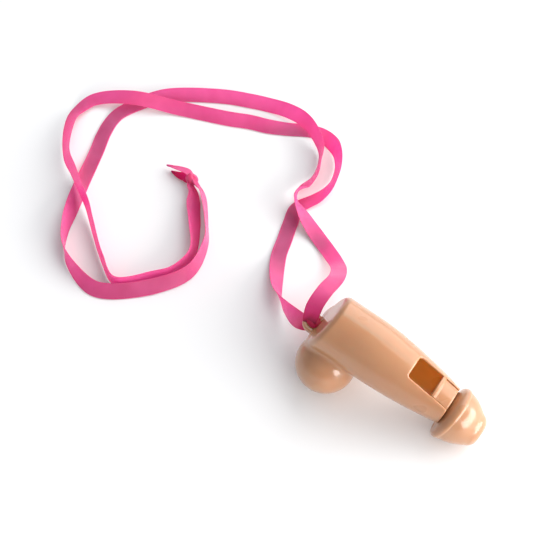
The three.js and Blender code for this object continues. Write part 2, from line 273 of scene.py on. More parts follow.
def peach_plastic():
    """Glossy, slightly translucent moulded plastic, with faint flow marks and fine scuffs. Its inside surfaces are a
    bright orange, a painted glow of the light that comes through the walls.
    """
    n = Nodes("peach_plastic")
    place = n.add("ShaderNodeTexCoord").outputs["Object"]
    flow = n.noise(place, 55.0, 2.0)
    grain = n.noise(place, 1400.0, 3.0)
    base = n.mix(
        n.ramp(flow, 0.35, 0.65), (0.46, 0.216, 0.102, 1), (0.48, 0.234, 0.114, 1)
    )
    speck = n.ramp(grain, 0.62, 0.75)
    outer = n.mix(n.math("MULTIPLY", speck, 0.02), base, (0.42, 0.17, 0.085, 1))
    # Painted glow: the surfaces inside the whistle are coloured a bright orange for the light that comes through the
    # walls.
    inner_glow = n.add("ShaderNodeAttribute", attribute_name="inner_glow").outputs["Fac"]
    n.set(
        Base_Color=n.mix(inner_glow, outer, (1.0, 0.64, 0.20, 1)),
        Roughness=n.ramp(n.noise(place, 60.0, 1.0), 0.3, 0.7, 0.27, 0.31),
        Normal=n.bump(n.noise(place, 40.0, 1.0), 0.02, 0.0006),
        IOR=1.49,
        Subsurface_Weight=0.6,
        Subsurface_Radius=(1.0, 0.55, 0.3),
        Subsurface_Scale=0.0028,
        Coat_Weight=0.65,
        Coat_Roughness=0.08,
    )
    return n.material


def satin(name, face, fold, sheen):
    """Woven satin: fine long floats across the band, a ribbed selvedge, and a soft sheen. The band's UV map
    is in centimetres along it, and from 0 to 1 across it."""
    n = Nodes(name)
    uv = n.add("ShaderNodeUVMap", uv_map="UVMap").outputs["UV"]
    split = n.add("ShaderNodeSeparateXYZ", {"Vector": uv})
    along, across = split.outputs[0], split.outputs[1]
    threads = n.math("SINE", n.math("MULTIPLY", across, 2 * math.pi * 44))
    floats = n.math("SINE", n.math("MULTIPLY", along, 2 * math.pi * 38))
    aside = n.math("ABSOLUTE", n.math("SUBTRACT", across, 0.5))
    edge = n.ramp(aside, 0.445, 0.46)
    rib = n.math("SINE", n.math("MULTIPLY", along, 2 * math.pi * 16))
    place = n.add("ShaderNodeTexCoord").outputs["Object"]
    cloud = n.ramp(n.noise(place, 90.0, 2.0), 0.3, 0.7)
    body = n.mix(cloud, face, fold)
    shade = n.ramp(n.math("MULTIPLY", edge, rib), -1.0, 1.0, 0.86, 1.1)
    tint = n.add("ShaderNodeHueSaturation", {"Color": body, "Value": shade})
    weave = n.math(
        "ADD", n.math("MULTIPLY", threads, 0.35), n.math("MULTIPLY", floats, 0.15)
    )
    height = n.math("ADD", weave, n.math("MULTIPLY", n.math("MULTIPLY", edge, rib), 0.9))
    # Painted shade: near the eye the band's colour goes to a dark red, for the ribbon there that turns away from the
    # light.
    eye_shade = n.add("ShaderNodeAttribute", attribute_name="eye_shade").outputs["Fac"]
    n.set(
        Base_Color=n.mix(eye_shade, tint.outputs[0], (0.40, 0.008, 0.06, 1)),
        Roughness=n.ramp(weave, -0.5, 0.5, 0.36, 0.46),
        Normal=n.bump(height, 0.25, 0.00006),
        Subsurface_Weight=0.7,
        Subsurface_Radius=(1.0, 0.3, 0.55),
        Subsurface_Scale=0.003,
        Sheen_Weight=sheen,
        Sheen_Roughness=0.35,
        Sheen_Tint=(1.0, 0.6, 0.95, 1),
        Specular_IOR_Level=0.32,
        Anisotropic=0.45,
    )
    return n.material


PEACH = peach_plastic()
PINK = satin("pink_satin", (0.82, 0.085, 0.225, 1), (0.72, 0.062, 0.185, 1), 0.22)
# Painted shade: a darker copy of the same pink satin, for the ribbon bunched in the lug's eye and for the second tail.
SHADED_PINK = satin("pink_satin_painted_shade", (0.62, 0.010, 0.085, 1), (0.48, 0.006, 0.06, 1), 0.02)


# ---------- Meshes ----------
def object_of(name, points, faces, material):
    """A smooth mesh object from points in metres and a list or array of faces, riding on the root body."""
    mesh = bpy.data.meshes.new(name)
    mesh.from_pydata([tuple(p) for p in points], [], [tuple(f) for f in faces])
    mesh.validate()
    mesh.polygons.foreach_set("use_smooth", [True] * len(mesh.polygons))
    mesh.materials.append(material)
    piece = add_object(name, mesh)
    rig.ride(piece, "root")
    return piece


def corner_vertices(mesh):
    """The vertex number at each face corner."""
    which = np.zeros(len(mesh.loops), np.int32)
    mesh.loops.foreach_get("vertex_index", which)
    return which


def set_uv(mesh, u, v):
    """The UV map, from one u and one v for each face corner."""
    layer = mesh.uv_layers.new(name="UVMap")
    layer.data.foreach_set("uv", np.column_stack([u, v]).astype(np.float32).ravel())


def set_points(mesh, name, values):
    """A float attribute with one value for each vertex."""
    layer = mesh.attributes.new(name, "FLOAT", "POINT")
    layer.data.foreach_set("value", values.astype(np.float32))


# ---------- Ribbon ----------
WIDTH = 7.5
THICKNESS = 0.4  # the CAD's, which sets how high a band's middle is
TAIL_WIDTH = 4.9
HALF_THICKNESS, EDGE_HALF_THICKNESS = 0.11, 0.17
RIPPLE, CUP = 0.12, 0.10  # how far a band's edges wave, and how far it bows across
LOWEST = 0.02  # above the table
SMOOTHED_FROM = 30  # stations; a shorter band's twist is left as it is
EYE_SHADE_REACH = 15.0  # how far from the eye the band is painted darker, as painted shade
EYE = (-39.847, 0.0)  # the point on the table below the lug's eye
# Routes: x and y from that point, lift of the lower edge, and the angle by which the left edge is turned up.
STRAND_A = [
    (-2, 1, 26.05, 0), (-2.5, 5, 29.05, 0), (-2.5, 13, 30.05, 0), (-3, 23, 26, 0), (-8, 35, 15, 0),
    (-15, 44, 5, 0), (-23, 50, 1, 0), (-31, 54, 1, 0), (-40, 58, 2.5, 20), (-48, 63, 3, 65),
    (-51, 68, 2, 110), (-51, 74, 1.5, 150), (-50, 81, 1, 125), (-52, 89, 0.5, 105), (-56, 98, 1, 108),
    (-63, 104, 2.6, 118), (-73, 109, 3, 132), (-84, 111, 1.8, 145), (-95, 110, 0.2, 145),
    (-105, 107, 0.2, 145), (-118, 102, 0.2, 145), (-139, 90, 0.2, 150), (-147, 83, 0.2, 158),
    (-157, 66, 0.2, 175), (-158, 59, 0.2, 180), (-156, 49, 0.2, 180), (-152, 38, 0.2, 180),
    (-144, 14, 0.3, 168), (-139, 2, 0.2, 140), (-134, -9, 0.2, 110), (-128, -18, 0.2, 95),
    (-120, -24, 0.2, 70), (-103, -29, 0.2, 38), (-94, -26, 0.2, 36), (-78, -12, 0.2, 42),
    (-69, 3, 0.2, 64), (-72, 20, 0.2, 80), (-78, 29, 0.2, 80), (-91, 44, 0.5, 66), (-95, 46, 1, 50),
]  # fmt: skip
STRAND_B = [
    (-1.5, 0, 20.05, -10), (-4, -0.5, 18.65, -20), (-9, 1.5, 14.05, -35), (-17, 6, 7, -70),
    (-24, 11, 2, -95), (-30, 17, 0.8, -130), (-40, 34, 0.3, -178), (-43, 44, 0.2, -180), (-46, 54, 0.2, -180),
    (-48, 63, 0.2, -182), (-43, 73, 0.2, -196), (-41, 79, 0.2, -215), (-41, 86, 0.2, -240),
    (-44, 95, 0.2, -245), (-49, 102, 0.2, -240), (-56, 107, 0.2, -206), (-65, 109, 0.2, -187),
    (-80, 102, 0.2, -192), (-88, 98, 0.2, -206), (-97, 95, 0.2, -215), (-107, 91, 0.2, -215),
    (-132, 83, 0.5, -210), (-155, 73, 4.5, -205), (-173, 64, 1.5, -188), (-176, 56, 0.5, -170),
    (-175, 47, 0.2, -150), (-162, 27, 0.5, -120), (-151, 19, 2, -112), (-141, 12, 3, -108),
    (-132, 6, 2, -106), (-125, 0, 0.5, -104), (-108, -14, 0.2, -100), (-95, -21, 0.2, -94),
    (-82, -9, 0.2, -92), (-76, -2, 0.2, -94), (-74, 11, 0.2, -105), (-83, 26, 0.2, -135),
    (-90, 35, 0.2, -150), (-95, 42, 0.5, -150), (-98, 44, 1.2, -150),
]  # fmt: skip
KNOT = (-100, 48, 3.4)
KNOT_SIZE = (7.2, 6.4, 6)
TAIL_A = [(-104, 49.7, 4.0, 20), (-110, 49.4, 3.0, 25), (-116, 48.8, 1.4, 30)]
TAIL_B = [(-104, 48.0, 1.3, -10), (-108, 48.1, 0.7, -6), (-113, 48.3, 0.3, 0)]


def curve_through(route, width, per_span=40):
    """Centres in mm and angles in radians along a centripetal Catmull-Rom curve, as in the CAD."""
    table = np.array(route, float)
    angle = np.radians(table[:, 3])
    height = table[:, 2] + width / 2 * np.abs(np.sin(angle)) + THICKNESS / 2
    centre = np.column_stack([table[:, 0] + EYE[0], table[:, 1] + EYE[1], height])
    ends = np.vstack([2 * centre[0] - centre[1], centre, 2 * centre[-1] - centre[-2]])
    points, angles = [], []
    for i in range(len(centre) - 1):
        p0, p1, p2, p3 = ends[i : i + 4]
        d0, d1, d2 = (math.sqrt(np.linalg.norm(b - a)) for a, b in ((p0, p1), (p1, p2), (p2, p3)))
        t1 = ((p1 - p0) / d0 - (p2 - p0) / (d0 + d1) + (p2 - p1) / d1) * d1
        t2 = ((p2 - p1) / d1 - (p3 - p1) / (d1 + d2) + (p3 - p2) / d2) * d1
        t = np.linspace(0, 1, per_span, endpoint=False)[:, None]
        points.append(
            p1 + t1 * t + (3 * (p2 - p1) - 2 * t1 - t2) * t**2 + (2 * (p1 - p2) + t1 + t2) * t**3
        )
        angles.append(angle[i] + (angle[i + 1] - angle[i]) * t[:, 0])
    return np.vstack([*points, centre[-1:]]), np.concatenate([*angles, angle[-1:]])


def resample(points, values, step):
    """Points and values again at even steps along the line."""
    along = np.concatenate([[0], np.cumsum(np.linalg.norm(np.diff(points, axis=0), axis=1))])
    at = np.linspace(0, along[-1], max(3, round(along[-1] / step) + 1))
    again = [np.interp(at, along, column) for column in (*points.T, values)]
    return np.column_stack(again[:3]), again[3], at


def smoothed(values, reach):
    """A running mean that keeps both ends."""
    kernel = np.hanning(2 * reach + 3)[1:-1]
    padded = np.pad(values, reach, mode="reflect", reflect_type="odd")
    return np.convolve(padded, kernel / kernel.sum(), mode="valid")


def band(name, route, width, material, seed, taper, step, bunch, from_eye):
    """A woven band with rounded, slightly thicker edges. Taper gives its width along it, as shares of its length and
    of its full width, and bunch how much thicker it gets where it is narrower. One that comes from the eye gets
    painted shade near it, darkest at the eye. It returns the object, and its centre points and length in metres."""
    points, angles = curve_through(route, width)
    centre, angle, at = resample(points, angles, step)
    if len(angle) > SMOOTHED_FROM:
        angle = smoothed(angle, 5)
    tangent = np.gradient(centre, axis=0)
    tangent /= np.linalg.norm(tangent, axis=1)[:, None]
    level = np.column_stack([-tangent[:, 1], tangent[:, 0], np.zeros(len(tangent))])
    level /= np.linalg.norm(level, axis=1)[:, None]
    up = np.cross(tangent, level)
    turn = angle[:, None]
    aside = level * np.cos(turn) + up * np.sin(turn)
    normal = np.cross(tangent, aside)
    # Half of the section: across the band from the left edge to the right, and its half thickness.
    edge = [0.91, 0.95, 0.985, 1]
    across = np.concatenate([np.negative(edge[::-1]), np.linspace(-0.84, 0.84, 13), edge])
    half_thick = np.where(np.abs(across) > 0.9, EDGE_HALF_THICKNESS, HALF_THICKNESS)
    half_thick[[0, -1]] = 0.04
    half_thick[[1, -2]] = 0.13
    rng = np.random.default_rng(seed)
    phase = rng.uniform(0, 2 * math.pi, 3)
    wave = sum(
        RIPPLE * share * np.sin(2 * math.pi * at / length + shift)
        for share, length, shift in zip((0.5, 0.3, 0.2), (31.0, 17.0, 9.5), phase)
    )
    cup = CUP * np.sin(2 * math.pi * at / 47.0 + phase[0])
    share = np.interp(at / at[-1], *taper)
    widths = share * width / 2
    deep = np.minimum(1, share / 0.3) * (1 + bunch * (1 - share))
    pleat = 0.5 * bunch * np.maximum(0, 0.9 - share)
    ring = len(across)
    rows = []
    for i in range(len(centre)):
        spread = centre[i] + np.outer(across * widths[i], aside[i])
        lift = wave[i] * across * (1 - 0.35 * across**2) + cup[i] * (across**2 - 0.4)
        lift = lift + pleat[i] * np.cos(3 * math.pi * across)
        thick = half_thick * deep[i]
        top = spread + np.outer(lift + thick, normal[i])
        bottom = spread + np.outer(lift - thick, normal[i])
        rows.append(np.vstack([top, bottom[::-1]]))
    rows = np.array(rows)
    rows[:, :, 2] = np.maximum(rows[:, :, 2], LOWEST)
    loop = 2 * ring
    faces = []
    for i in range(len(rows) - 1):
        a, b = i * loop, (i + 1) * loop
        for j in range(loop):
            k = (j + 1) % loop
            faces.append((a + j, b + j, b + k, a + k))
    last = (len(rows) - 1) * loop
    for j in range(ring - 1):
        faces.append((j, j + 1, loop - 2 - j, loop - 1 - j))
        faces.append((last + j + 1, last + j, last + loop - 1 - j, last + loop - 2 - j))
    piece = object_of(name, rows.reshape(-1, 3) * MM, faces, material)
    # Painted shade: darkest at the eye, fading out over EYE_SHADE_REACH.
    near = np.clip(1 - at / EYE_SHADE_REACH, 0, 1) if from_eye else np.zeros(len(at))
    set_points(piece.data, "eye_shade", np.repeat(near, loop))
    station, place = np.divmod(corner_vertices(piece.data), loop)
    side = np.concatenate([across, across[::-1]])[place] / 2 + 0.5
    set_uv(piece.data, at[station] / 10, side)
    return piece, centre * MM, at[-1] * MM


# The strands come out of the eye and are gathered in the knot. The tails leave it as narrow folds that are
# cut to a point.
FROM_EYE_A = [(-1.2, -1.6, 24.5, 0)]
INTO_KNOT_A = [(-98, 47.4, 2.0, 40), (-100, 48, 2.6, 30)]
INTO_KNOT_B = [(-99.6, 46.4, 1.8, -160), (-100.4, 48, 2.2, -170)]
FROM_KNOT_A = [(-100.5, 48.6, 3.2, 10), (-102.5, 49.4, 4.0, 15)]
FROM_KNOT_B = [(-100.8, 47.4, 1.8, -14), (-102.4, 47.2, 1.6, -12)]
STRAND_TAPER = ([0, 0.006, 0.012, 0.972, 0.99, 1], [0.8, 0.92, 1, 1, 0.52, 0.36])
TAIL_TAPER = ([0, 0.3, 0.6, 0.9, 1], [0.6, 1, 0.8, 0.32, 0.12])


def make_strand(name, route, seed):
    return band(name, route, WIDTH, PINK, seed, STRAND_TAPER, step=0.9, bunch=1.2, from_eye=True)


def make_tail(name, route, material, seed):
    return band(name, route, TAIL_WIDTH, material, seed, TAIL_TAPER, step=0.4, bunch=0.8, from_eye=False)[0]


strand_a, path_a, length_a = make_strand("ribbon_a", FROM_EYE_A + STRAND_A + INTO_KNOT_A, 1)
strand_b, path_b, length_b = make_strand("ribbon_b", STRAND_B + INTO_KNOT_B, 2)
tail_a = make_tail("ribbon_end_a", FROM_KNOT_A + TAIL_A, PINK, 3)
# The second tail takes the darker satin, as painted shade.
tail_b = make_tail("ribbon_end_b", FROM_KNOT_B + TAIL_B, SHADED_PINK, 4)


# Each wrap is a raised band about its own slanted axis: the axis, half its width, its height and its pleats.
KNOT_CORE = 0.80
KNOT_WRAPS = (
    ((0.82, 0.50, 0.28), 0.44, 0.17, 26),
    ((-0.25, 0.90, -0.36), 0.36, 0.12, 22),
    ((0.35, -0.2, 0.91), 0.30, 0.08, 20),
)
WRAP_EDGE, PLEAT_HEIGHT = 0.14, 0.014


def knot_size(d):
    """How far the knot reaches in a direction, as a share of its half size."""
    size = KNOT_CORE
    for axis, reach, level, pleats in KNOT_WRAPS:
        aside = d @ (np.array(axis) / np.linalg.norm(axis))
        inside = np.clip((reach - abs(aside)) / WRAP_EDGE, 0, 1)
        inside = inside * inside * (3 - 2 * inside)
        size = max(size, KNOT_CORE + level * inside + PLEAT_HEIGHT * inside * math.sin(pleats * aside * 3))
    return size


def around(rings, facets):
    """The faces of a closed surface made of rings of points, with a centre point for each end after them."""
    first, last, end = rings * facets, rings * facets + 1, (rings - 1) * facets
    faces = []
    for j in range(facets):
        k = (j + 1) % facets
        for i in range(0, end, facets):
            faces.append((i + j, i + facets + j, i + facets + k, i + k))
        faces.append((first, j, k))
        faces.append((last, end + k, end + j))
    return faces


def make_knot():
    """The overhand knot: tight wraps of pleated band round a firm core."""
    centre = np.array([KNOT[0] + EYE[0], KNOT[1] + EYE[1], KNOT[2]])
    half = np.array(KNOT_SIZE) / 2
    rings, facets = 49, 96
    points = []
    for i in range(rings):
        polar = math.pi * (i + 0.5) / rings
        for j in range(facets):
            turn = 2 * math.pi * j / facets
            level = math.sin(polar)
            d = np.array([level * math.cos(turn), level * math.sin(turn), math.cos(polar)])
            points.append(centre + d * half * knot_size(d))
    points += [np.mean(points[:facets], axis=0), np.mean(points[-facets:], axis=0)]
    points = np.array(points)
    points[:, 2] = np.maximum(points[:, 2], 0.05)
    piece = object_of("ribbon_knot_wraps", points * MM, around(rings, facets), PINK)
    place = points[corner_vertices(piece.data)] - centre
    set_uv(piece.data, place[:, 0] / 10, place[:, 1] / 8 + 0.5)
    return piece


knot = make_knot()

# ---------- Whistle: its shape as signed distances, in the whistle's own millimetres ----------
TILT = 0.185968
ORIGIN = (-33.7367, 0.0, 31.6501)
WALL = 1.5
CLEARANCE = 0.3
BARREL_LENGTH, BARREL_RADIUS, MUZZLE_RADIUS = 63.0, 13.6, 8.8
BACK_FILLET, BACK_LEAN = 2.6, 0.27
TAPER_START, TAPER_POWER = 22.0, 1.7
BEND_START, BEND_END, BEND_SLOPE = 18.0, 32.0, 0.085
LOBE_LENGTH, LOBE_WIDTH, LOBE_SPREAD, LOBE_X, LOBE_DROP = 26.8, 27.0, 18.0, 9.4, 16.7
LUG_RADIUS, LUG_REACH, LUG_THICKNESS, LUG_DROP, LUG_EYE_RADIUS = 4.7, 9.3, 2.4, 8.6, 2.2
LUG_INTO_BODY, LUG_EDGE, LUG_EYE_EDGE = 4.5, 0.5, 0.4
POST_RADIUS, POSTS = 2.0, ((8, -18), (30, -9))
WINDOW_START, WINDOW_LENGTH, WINDOW_WIDTH, WINDOW_CORNER = 42.0, 12.2, 11.0, 1.2
LIP_LENGTH = 1.8
RETAINER_X, RETAINER_WIDTH, RETAINER_HEIGHT = 58.2, 1.5, 0.8
SPIGOT_RADIUS, SPIGOT_DROP, SPIGOT_LENGTH = 5.0, 0.6, 8.0
WINDWAY_WIDTH, WINDWAY_HEIGHT, WINDWAY_FLARE = 6.6, 1.7, 1.25
WINDWAY_SLOPE, WINDWAY_EXIT_HEIGHT = 0.39, 4.4
MOUTH_LENGTH, MOUTH_RADIUS, MOUTH_TIP_RADIUS, MOUTH_DROP = 17.6, 12.7, 7.6, 4.0
RIM_REACH, RIM_ROUND, MOUTH_NOSE, MOUTH_BULGE, RIM_LEAN = 2.4, 2.1, 3.0, 0.8, 0.2
BIGHT_ABOVE, BIGHT_BELOW, BIGHT_GAP, BIGHT_SPILL = 0.9, 1.3, 0.14, 1.2
FILLET = 2.2  # soft blend where the lobes meet the barrel
LOBE_BLEND = 0.8  # between the two lobes
LUG_FILLET = 0.7
INNER_PAST_WINDOW = 0.6  # how far in front of the window the plastic still counts as inside
MOUTH_FORWARD = 0.25  # the cap sits closer to the body than in the CAD
NOSE_START, NOSE_FALL = 0.5, 0.55  # the nose's arc starts with the slope of the side before it
SEAM, KEY_GAP = 0.05, 0.04  # the insert sits closer to the body than in the CAD
WINDOW_EDGE, NOTCH_EDGE, FRONT_EDGE = 0.75, 0.4, 0.12  # how far the body's edges are rounded
LIP_EDGE, PLUG_EDGE = 0.45, 0.1
PANEL_DEPTH = 0.6  # under the barrel's surface, which it follows

INSERT_START = WINDOW_START + WINDOW_LENGTH
LUG_X = LUG_RADIUS - LUG_REACH
MOUTH_START = BARREL_LENGTH + CLEARANCE
MOUTH_END = MOUTH_START + MOUTH_LENGTH


def axis_height(x):
    into = np.clip(x - BEND_START, 0, BEND_END - BEND_START)
    return -BEND_SLOPE * (into**2 / (2 * (BEND_END - BEND_START)) + np.maximum(0, x - BEND_END))


def barrel_radius(x):
    along = np.clip((x - TAPER_START) / (BARREL_LENGTH - TAPER_START), 0, 1)
    return BARREL_RADIUS - (BARREL_RADIUS - MUZZLE_RADIUS) * along**TAPER_POWER


def both(a, b, r):
    """Where two solids meet, with the edge rounded to radius r."""
    return np.minimum(np.maximum(a, b), -r) + np.hypot(np.maximum(a + r, 0), np.maximum(b + r, 0))


def either(a, b, r):
    """Two solids together, with the inner corner filled to radius r."""
    return np.maximum(np.minimum(a, b), r) - np.hypot(np.maximum(r - a, 0), np.maximum(r - b, 0))


def less(a, b, r):
    return both(a, -b, r)


def slab(value, low, high):
    return np.maximum(low - value, value - high)


def unbent(x, z):
    return z - axis_height(x)


def lobe(x, y, z, side):
    ratio = np.sqrt(
        ((x - LOBE_X) / (LOBE_LENGTH / 2)) ** 2
        + ((y - side * LOBE_SPREAD / 2) / (LOBE_WIDTH / 2)) ** 2
        + ((z + LOBE_DROP) / (LOBE_WIDTH / 2)) ** 2
    )
    return (ratio - 1) * LOBE_WIDTH / 2


def barrel_side(x, y, z):
    """The barrel with its back end rounded, running on past its front end."""
    up = unbent(x, z)
    leaned = (x - BACK_LEAN * up) / (1 - BACK_LEAN * up / BEND_START)
    back = np.where(x < BEND_START + 4, leaned, x)
    side = np.hypot(y, up) - barrel_radius(x)
    return both(side, -back / math.hypot(1, BACK_LEAN), BACK_FILLET)


def outside(x, y, z):
    lobes = either(lobe(x, y, z, -1), lobe(x, y, z, 1), LOBE_BLEND)
    return either(barrel_side(x, y, z), lobes, FILLET)


def notch(x, y, z):
    """The window and the notch in front of it, open upwards."""
    corner = both(WINDOW_START - x, np.abs(y) - WINDOW_WIDTH / 2, WINDOW_CORNER)
    return np.maximum(corner, -unbent(x, z))


def lug(x, y, z):
    """The flat tab on the back, which runs into the body, with the ribbon's eye through it."""
    plan = np.where(x < LUG_X, np.hypot(x - LUG_X, y) - LUG_RADIUS, np.abs(y) - LUG_RADIUS)
    plan = np.maximum(plan, x - LUG_INTO_BODY)
    tab = both(plan, slab(z, -LUG_DROP - LUG_THICKNESS, -LUG_DROP), LUG_EDGE)
    return less(tab, np.hypot(x - LUG_X, y) - LUG_EYE_RADIUS, LUG_EYE_EDGE)


def post(x, z, at_x, at_z):
    """A locating post across the body, from one side to the other."""
    return np.hypot(x - at_x, z - at_z) - POST_RADIUS


def body(x, y, z):
    """The hollow body, before it is cut into its two halves."""
    skin = outside(x, y, z)
    hollow = skin + WALL
    collar = np.maximum(
        np.hypot(y, unbent(x, z)) - (barrel_radius(x) - WALL + RETAINER_HEIGHT),
        slab(x, RETAINER_X - CLEARANCE, RETAINER_X + RETAINER_WIDTH + CLEARANCE),
    )
    hollow = np.minimum(hollow, collar)
    hollow = less(hollow, np.minimum(*(post(x, z, *at) for at in POSTS)), 0.4)
    shell = both(skin, x - BARREL_LENGTH, FRONT_EDGE)
    shell = less(shell, hollow, 0.3)
    # The window's rim is softer than the sides of the notch in front of it.
    rim = np.where(x < INSERT_START, WINDOW_EDGE, NOTCH_EDGE)
    shell = less(shell, notch(x, y, z), rim)
    # The lug joins the outside of the back wall and doesn't reach the hollow.
    tab = np.maximum(lug(x, y, z), -hollow)
    return either(shell, tab, LUG_FILLET)


def windway(x, y, z):
    """The flat slot from the mouthpiece's end, which widens there, to the window."""
    exit_height = axis_height(INSERT_START) + WINDWAY_EXIT_HEIGHT
    size = np.where(x > BARREL_LENGTH, WINDWAY_FLARE, 1.0)
    middle = exit_height - (x - INSERT_START) * WINDWAY_SLOPE
    wide = np.abs(y) - size * WINDWAY_WIDTH / 2
    return both(wide, np.abs(z - middle) - size * WINDWAY_HEIGHT / 2, 0.2)


def spigot(x, y, z, gap):
    """The insert's round nose, which holds the mouthpiece."""
    radial = np.hypot(y, unbent(x, z) + SPIGOT_DROP) - SPIGOT_RADIUS - gap
    return np.maximum(radial, x - (BARREL_LENGTH + SPIGOT_LENGTH + gap))


def insert(x, y, z):
    """The plug: its key fills the notch, its ring sits in the body's groove, and its panel is sunk."""
    up = unbent(x, z)
    radial = np.hypot(y, up)
    front = BARREL_LENGTH - SEAM
    plug = radial - (barrel_radius(x) - WALL - CLEARANCE)
    key = both(radial - barrel_radius(x), np.abs(y) - (WINDOW_WIDTH / 2 - KEY_GAP), FRONT_EDGE)
    key = np.maximum(key, -up - MUZZLE_RADIUS / 2)
    ring = np.maximum(
        radial - (barrel_radius(x) - WALL + RETAINER_HEIGHT - CLEARANCE),
        slab(x, RETAINER_X, RETAINER_X + RETAINER_WIDTH),
    )
    whole = np.minimum(np.minimum(plug, key), ring)
    start = INSERT_START + LIP_LENGTH
    whole = both(whole, slab(x, INSERT_START, front), np.where(x < start, LIP_EDGE, PLUG_EDGE))
    pocket = both(start - x, barrel_radius(x) - PANEL_DEPTH - radial, 0.5)
    pocket = np.maximum(pocket, -up)
    whole = less(whole, pocket, LIP_EDGE)
    whole = np.minimum(whole, np.maximum(spigot(x, y, z, 0), front - 1 - x))
    return less(whole, windway(x, y, z), 0.15)


def mouth_profile():
    """The cap's outline, along the whistle and out from its axis: back face, rim, side and nose."""
    tip = MOUTH_END - MOUTH_NOSE
    rim = MOUTH_START + RIM_REACH
    slant = math.atan2(MOUTH_RADIUS - MOUTH_TIP_RADIUS, tip - rim)
    back = MOUTH_START - MOUTH_FORWARD
    points = [(back, -1.0), (back, MUZZLE_RADIUS - 0.5)]
    for turn in np.linspace(-1.2, math.pi / 2 - slant - 0.5, 16):
        radius = MOUTH_RADIUS - RIM_ROUND * (1 - math.cos(turn))
        points.append((rim + RIM_ROUND * math.sin(turn), radius))
    end_x, end_radius = points[-1]
    for share in np.linspace(0, 1, 14)[1:-1]:
        radius = end_radius + (MOUTH_TIP_RADIUS - end_radius) * share
        radius += MOUTH_BULGE * math.sin(math.pi * share)
        points.append((end_x + (tip - end_x) * share, radius))
    for turn in np.linspace(NOSE_START, math.pi / 2, 16):
        along = (math.sin(turn) - math.sin(NOSE_START)) / (1 - math.sin(NOSE_START))
        fall = NOSE_FALL * (1 - math.cos(turn) / math.cos(NOSE_START))
        points.append((tip + MOUTH_NOSE * along, MOUTH_TIP_RADIUS * (1 - fall)))
    points.append((MOUTH_END, -1.0))
    return np.array(points)


PROFILE = mouth_profile()


def polygon_distance(px, py, corners):
    """Signed distance from points to a closed polygon."""
    best = np.full(np.shape(px), np.inf)
    inside = np.zeros(np.shape(px), bool)
    for (ax, ay), (bx, by) in zip(corners, np.roll(corners, -1, axis=0)):
        ex, ey = bx - ax, by - ay
        wx, wy = px - ax, py - ay
        t = np.clip((wx * ex + wy * ey) / (ex * ex + ey * ey), 0, 1)
        best = np.minimum(best, (wx - ex * t) ** 2 + (wy - ey * t) ** 2)
        if ay != by:
            crosses = ((ay > py) != (by > py)) & (px < ax + (py - ay) * ex / ey)
            inside ^= crosses
    distance = np.sqrt(best)
    return np.where(inside, -distance, distance)


def mouth(x, y, z):
    """The cap: its outline turned about the barrel's axis, with the rim leaned back above."""
    up = unbent(x, z) + MOUTH_DROP
    radius = np.hypot(y, up)
    flat = MUZZLE_RADIUS - 0.5
    beyond = np.maximum(0, radius - flat) / (MOUTH_RADIUS - flat)
    shape = polygon_distance(x - RIM_LEAN * up * beyond, radius, PROFILE)
    shape = less(shape, windway(x, y, z), 0.3)
    return less(shape, spigot(x, y, z, CLEARANCE), 0.2)


def surface_nets(field, low, high, step):
    """The zero surface of a field as points and quads: one point in each crossed cell, moved on to the
    surface."""
    axes = [np.arange(a, b + step, step) for a, b in zip(low, high)]
    grid = np.meshgrid(*axes, indexing="ij")
    value = field(*grid)
    inside = value < 0
    cells = tuple(n - 1 for n in value.shape)
    corners = [(i, j, k) for i in (0, 1) for j in (0, 1) for k in (0, 1)]
    count = np.zeros(cells, np.int8)
    for i, j, k in corners:
        count += inside[i : i + cells[0], j : j + cells[1], k : k + cells[2]]
    active = (count > 0) & (count < 8)
    number = np.full(cells, -1, np.int64)
    number[active] = np.arange(active.sum())
    at = np.argwhere(active)
    total, crossings = np.zeros((len(at), 3)), np.zeros(len(at))
    for a in corners:
        for axis in range(3):
            if a[axis]:
                continue
            b = tuple(c + (n == axis) for n, c in enumerate(a))
            va, vb = value[tuple((at + a).T)], value[tuple((at + b).T)]
            cross = (va < 0) != (vb < 0)
            share = np.where(cross, va / np.where(cross, va - vb, 1), 0)
            point = np.array(a, float) + share[:, None] * (np.array(b) - np.array(a))
            total += point * cross[:, None]
            crossings += cross
    points = np.array([a[0] for a in axes]) + step * (at + total / crossings[:, None])
    quads = []
    for axis in range(3):
        u, w = (axis + 1) % 3, (axis + 2) % 3
        first = [slice(None)] * 3
        second = [slice(None)] * 3
        first[axis], second[axis] = slice(None, -1), slice(1, None)
        solid_first = inside[tuple(first)]
        edge = np.argwhere(solid_first != inside[tuple(second)])
        low_enough = (edge[:, u] < cells[u]) & (edge[:, w] < cells[w])
        edge = edge[(edge[:, u] >= 1) & (edge[:, w] >= 1) & low_enough]
        outward = solid_first[tuple(edge.T)]
        step_u, step_w = np.eye(3, dtype=int)[u], np.eye(3, dtype=int)[w]
        moves = (0 * step_u, step_u, step_u + step_w, step_w)
        quad = np.column_stack([number[tuple((edge - move).T)] for move in moves])
        quads.append(np.where(outward[:, None], quad, quad[:, ::-1]))
    return on_surface(field, points, step), np.vstack(quads)


def on_surface(field, points, step):
    """Newton steps along the field's slope, each no longer than a third of a cell."""
    h = 0.02  # for the differences
    for _ in range(3):
        x, y, z = points.T
        slope = np.column_stack(
            [
                field(x + h, y, z) - field(x - h, y, z),
                field(x, y + h, z) - field(x, y - h, z),
                field(x, y, z + h) - field(x, y, z - h),
            ]
        ) / (2 * h)
        size = np.maximum((slope**2).sum(1), 0.2)
        move = -(field(x, y, z) / size)[:, None] * slope
        length = np.linalg.norm(move, axis=1)[:, None]
        points = points + move * np.minimum(1, step / 3 / np.maximum(length, 1e-9))
    return points


def placed(points):
    """From the whistle's own millimetres to the row frame, in metres."""
    c, s = math.cos(TILT), math.sin(TILT)
    x, y, z = np.asarray(points, float).T
    return (np.column_stack([x * c + z * s, y, z * c - x * s]) + ORIGIN) * MM


